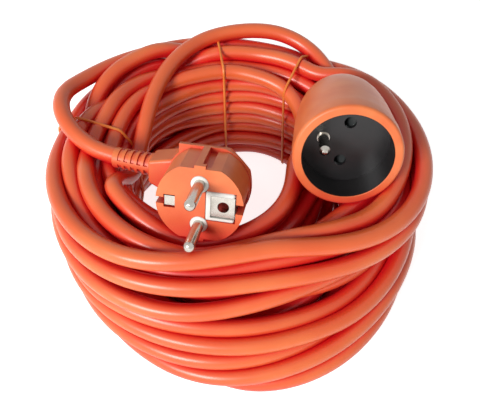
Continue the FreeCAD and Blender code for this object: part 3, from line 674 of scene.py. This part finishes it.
carrier = rod("plug_white_carrier", 15.2, (-9, -6), sides=96)
for side in (1, -1):
    collar = rod("collar", 3.8, (-6.5, 0.3), y=side * PIN_GAP, sides=64)
    round_edges(collar, lambda p: p.z > 0.2, 0.5, 3)
    carve(carrier, collar, "UNION")
frame_block = block("frame", (2.6, 14.9), (-6.9, 6.9), (-6.5, 0.35))
round_edges(frame_block, lambda p: True, 1.1, 4)
carve(carrier, frame_block, "UNION")
carve(carrier, block("seat", (4.7, 17), (-5.2, 5.2), (-2.7, 1)))
carve(carrier, rod("earth_well", 3.25, (-10, 1), x=EARTH_X, sides=48))
for side in (1, -1):
    carve(carrier, block("strap_slot", sorted((side * 13.6, side * 19)), (-2.5, 2.5), (-11, 1)))
    carve(carrier, rod("pin_hole", 2.05, (-10, 1), y=side * PIN_GAP, sides=48))
soften(carrier, 0.12)
settle(carrier, PLUG, white_nylon, ["plug_inner_bridge"])

# %% [markdown]
# ## The socket's bell
#
# The socket is a soft bell moulded over a black cup: a thick rounded rim, a body that narrows
# towards the back, a broad shoulder and a short neck. A circle is extruded ring after ring along
# the outside and back along the inside, and the last ring is bridged to the first.

# %% Socket: bell
BELL = [
    (19.95, -0.5), (19.95, -0.14), (20.12, 0), (22.6, 0), (23.3, -0.25), (23.8, -0.8), (24, -1.7),
    (24, -7.6), (23.8, -9), (23.5, -14), (23.2, -20), (22.7, -28), (22, -35), (21.1, -41),
    (20, -46), (18.7, -50), (17, -53), (14.8, -56.2), (12, -58.5), (9.6, -60.2), (8, -61.2),
    (6.9, -62.6), (6.3, -64.6), (6, -67.2), (5.6, -68), (4.6, -68), (4.3, -67.6), (4.3, -56),
    (12, -45), (19.8, -41), (21.05, -22.6), (21.05, -0.5),
]


settle(turned("socket_bell", BELL), SOCKET, moulding, ["socket_shell"])

# %% [markdown]
# ## The ties
#
# Three thin coated wires hold the coil. A tie pulled tight follows the outline of the turns it
# holds, so its path is the hull of small circles round each turn where it passes.

# %% Ties
TIE = 0.0014


def hull(points):
    """The convex outline of points in a plane, anticlockwise."""
    points = sorted(map(tuple, points))
    sides = []
    for ordered in (points, points[::-1]):
        chain = []
        for point in ordered:
            while len(chain) > 1 and (
                    (chain[-1][0] - chain[-2][0]) * (point[1] - chain[-2][1])
                    <= (chain[-1][1] - chain[-2][1]) * (point[0] - chain[-2][0])):
                chain.pop()
            chain.append(point)
        sides += chain[:-1]
    return sides


def tie_wire(name, degrees):
    bearing = math.radians(degrees)
    off = np.abs(np.angle(np.exp(1j * (angle - bearing))))
    held = route[off < math.pi / STEPS]
    ring = np.linspace(0, 2 * math.pi, 16, endpoint=False)
    circle = np.stack([np.cos(ring), np.sin(ring)], 1) * (CABLE + TIE) / 2
    loop = hull((held[:, None] + circle).reshape(-1, 2))
    path = bpy.data.curves.new(name, "CURVE")
    path.dimensions = "3D"
    wire = path.splines.new("POLY")
    wire.points.add(len(loop) - 1)
    for control, (reach, level) in zip(wire.points, loop):
        level = max(level, TIE / 2)
        control.co = (COIL_MIDDLE[0] + reach * math.cos(bearing),
                      COIL_MIDDLE[1] + reach * math.sin(bearing), level, 1)
    wire.use_cyclic_u = True
    path.bevel_depth = TIE / 2
    path.bevel_resolution = 2
    piece = bpy.data.objects.new(name, path)
    bpy.context.scene.collection.objects.link(piece)
    select_only(piece)
    bpy.ops.object.convert(target="MESH")
    return bpy.context.object


for tie_name, tie_degrees in TIE_BEARINGS.items():
    wire = tie_wire(f"tie_{tie_name}", tie_degrees)
    settle(wire, Matrix(), tie_coating, [f"coil_tie_{tie_name}"])

# %% [markdown]
# ## Metal and the inner pieces
#
# The pins and the earth strap are brass with a bright nickel plate, drawn or stamped, so they
# carry fine scratches. The contacts behind the shutter are bare brass, and the shutter's spring
# is steel wire.

# %% Metals
def metal(name, plain, worn, roughness, scratch_mm):
    """A polished metal with fine scratches that widen its gloss here and there."""
    material, tree, surface = finish(name, {"Metallic": 1.0})
    place = add_node(tree, "TexCoord").outputs["Object"]
    dull = add_node(tree, "TexNoise", inputs={"Vector": place, "Scale": 1 / (2.5 * MM), "Detail": 5.0})
    colour = add_node(tree, "Mix", {"data_type": "RGBA"}, {
        0: dull.outputs["Fac"], 6: linear(plain), 7: linear(worn)})
    tree.links.new(colour.outputs[2], surface.inputs["Base Color"])
    scratches = add_node(tree, "TexNoise", inputs={
        "Vector": place, "Scale": 1 / (scratch_mm * MM), "Detail": 6.0, "Roughness": 0.7})
    rough = add_node(tree, "MapRange", inputs={
        "Value": scratches.outputs["Fac"], "To Min": roughness - 0.08, "To Max": roughness + 0.12})
    tree.links.new(rough.outputs["Result"], surface.inputs["Roughness"])
    bump = add_node(tree, "Bump", inputs={
        "Height": scratches.outputs["Fac"], "Strength": 0.2, "Distance": 0.02 * MM})
    tree.links.new(bump.outputs["Normal"], surface.inputs["Normal"])
    return material


nickel = metal("nickel_plated_brass", "#C9C4BC", "#A8A198", 0.22, 0.6)
brass = metal("brass_stamped", "#C9A35A", "#AE8640", 0.3, 0.6)
steel = metal("spring_steel_drawn", "#A9AAAD", "#8B8C90", 0.3, 0.4)

# %% [markdown]
# Each pin is turned: a domed tip, a straight shank to the collar, a thinner root inside the
# moulding and a hollow barrel that holds the core.

# %% Plug: pins
PIN = [
    (0.5, 19), (1.1, 18.9), (1.65, 18.6), (2.05, 18.1), (2.3, 17.45), (2.4, 16.7), (2.4, 0.3),
    (2, 0.3), (2, -9.5), (1.8, -9.5), (1.8, -15), (1, -15), (1, -10),
]
for pin_name, side in (("live", 1), ("neutral", -1)):
    pin = turned(f"pin_{pin_name}", PIN, sides=48, ring=False)
    pin.data.transform(Matrix.Translation((0, side * PIN_GAP * MM, 0)))
    settle(pin, PLUG, nickel, [f"plug_pin_{pin_name}"])

# %% [markdown]
# The earth cores are green and yellow. The other pieces inside keep their CAD shape and get the
# finish of the material that each is made of.

# %% Inner pieces
def striped(name, ground, stripe):
    """Insulation with stripes of a second colour along each core."""
    material, tree, surface = finish(name, {"IOR": 1.5, "Roughness": 0.4})
    place = add_node(tree, "TexCoord").outputs["Object"]
    wave = add_node(tree, "TexWave", {"bands_direction": "Y"}, {"Vector": place, "Scale": 1 / (6 * MM)})
    ramp = add_node(tree, "ValToRGB", inputs={"Fac": wave.outputs["Fac"]})
    stops = ramp.color_ramp.elements
    stops[0].position, stops[0].color = 0.45, linear(ground)
    stops[1].position, stops[1].color = 0.55, linear(stripe)
    tree.links.new(ramp.outputs["Color"], surface.inputs["Base Color"])
    return material


core_earth = striped("pvc_core_green_yellow", "#2E8B35", "#E8D22A")

FINISH_OF = {
    "socket_contact_carrier": white_nylon,
    "socket_insert": black_nylon, "socket_shutter": dark_acetal,
    "plug_earth_strap": nickel, "plug_earth_socket": nickel, "socket_earth_pin": nickel,
    "socket_contact_live": brass, "socket_contact_neutral": brass, "socket_shutter_spring": steel,
    "plug_core_live": core_brown, "socket_core_live": core_brown,
    "plug_core_neutral": core_blue, "socket_core_neutral": core_blue,
    "plug_core_earth": core_earth, "socket_core_earth": core_earth,
}
for node_name, material in FINISH_OF.items():
    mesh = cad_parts[node_name].data
    mesh.materials.clear()
    mesh.materials.append(material)
print(len(FINISH_OF), "CAD nodes finished")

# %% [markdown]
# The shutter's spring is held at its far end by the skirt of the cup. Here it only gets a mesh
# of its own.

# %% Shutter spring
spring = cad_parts["socket_shutter_spring"]
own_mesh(spring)

# %% [markdown]
# ## Floor and light
#
# A plain white floor lit to just about white, a large soft lamp from the front left and above, and
# a pale sky to fill the shadows. The level is the one at which a colour renders as it is written.

# %% Floor, lamps and sky
KEY_PLACE = Vector((-1.0, -1.35, 0.95))
KEY_SIZE, KEY_WATTS = 0.6, 33.0
SKY_STRENGTH = 0.25
FLOOR_GLOW = 0.8


def lamp(name, place, size, watts, target):
    bpy.ops.object.light_add(type="AREA", location=place)
    made = bpy.context.object
    made.name = name
    made.data.size = size
    made.data.energy = watts
    made.rotation_euler = (target - place).to_track_quat("-Z", "Y").to_euler()
    return made


def seen_plainly(tree):
    """1 for rays from the camera, and for those that a shiny or clear surface sends on."""
    rays = add_node(tree, "LightPath")
    direct = add_node(tree, "Math", {"operation": "MAXIMUM"}, {
        0: rays.outputs["Is Camera Ray"], 1: rays.outputs["Is Glossy Ray"]})
    return add_node(tree, "Math", {"operation": "MAXIMUM"}, {
        0: direct.outputs[0], 1: rays.outputs["Is Transmission Ray"]}).outputs[0]


coil_centre = Vector((0, 0, 0.04))
lamp("key_lamp", KEY_PLACE, KEY_SIZE, KEY_WATTS, coil_centre)

bpy.ops.mesh.primitive_plane_add(size=6)
floor = bpy.context.object
floor.name = "floor"
paper, tree, surface = finish("floor_white_card", {
    "Base Color": linear("#FAFAF9"), "Roughness": 0.9, "Emission Color": linear("#FFFFFF")})
glow = add_node(tree, "Math", {"operation": "MULTIPLY"}, {0: seen_plainly(tree), 1: FLOOR_GLOW})
tree.links.new(glow.outputs[0], surface.inputs["Emission Strength"])
floor.data.materials.append(paper)

world = bpy.data.worlds.new("studio")
bpy.context.scene.world = world
world.use_nodes = True
world.node_tree.nodes.clear()
strength = add_node(world.node_tree, "MapRange", inputs={
    "Value": seen_plainly(world.node_tree), "To Min": SKY_STRENGTH, "To Max": 1.0})
sky = add_node(world.node_tree, "Background", inputs={
    "Color": linear("#FFFFFF"), "Strength": strength.outputs["Result"]})
add_node(world.node_tree, "OutputWorld", inputs={"Surface": sky.outputs[0]})
bpy.context.scene.view_settings.view_transform = "Standard"
